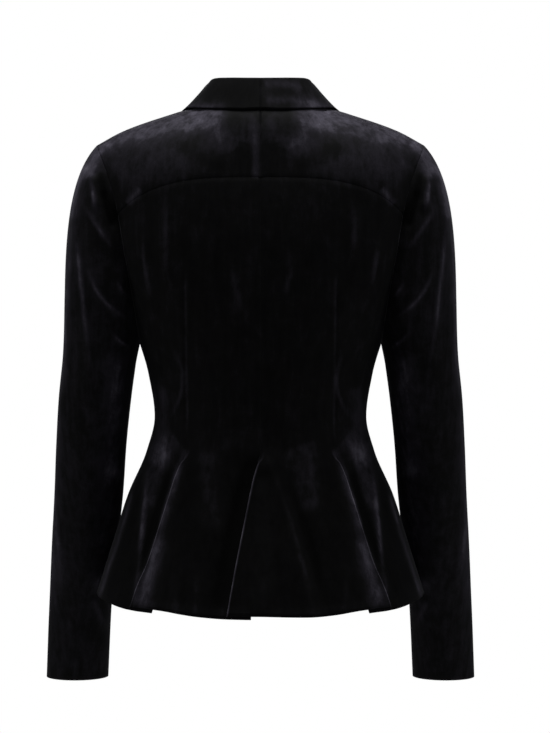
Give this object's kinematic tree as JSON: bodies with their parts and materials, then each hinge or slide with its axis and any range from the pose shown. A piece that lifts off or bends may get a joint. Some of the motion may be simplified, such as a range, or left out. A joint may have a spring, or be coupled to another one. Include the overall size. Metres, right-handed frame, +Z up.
{
  "type": "velvet peplum jacket",
  "caption": "Fitted long-sleeved jacket with a shawl collar, shaped back yoke and a flared peplum released in knife pleats, filled out as if worn and hollow.",
  "frame": {"origin": "on the centre plane at the height of the neck base, level with the shoulder seams, where the wearer's shoulders hold the jacket", "axes": "+Z up, front towards -Y, wearer's left towards +X"},
  "size_m": [0.5208, 0.3136, 0.7061],
  "materials": {
    "velvet": "short-pile black velvet with a grey sheen at grazing angles"
  },
  "bodies": {
    "root": {"yoke_left": "velvet", "yoke_right": "velvet", "back_left": "velvet", "back_right": "velvet", "front_left": "velvet", "front_right": "velvet", "collar_left": "velvet", "collar_right": "velvet", "sleeve_left": "velvet", "sleeve_right": "velvet"}
  },
  "joints": []
}
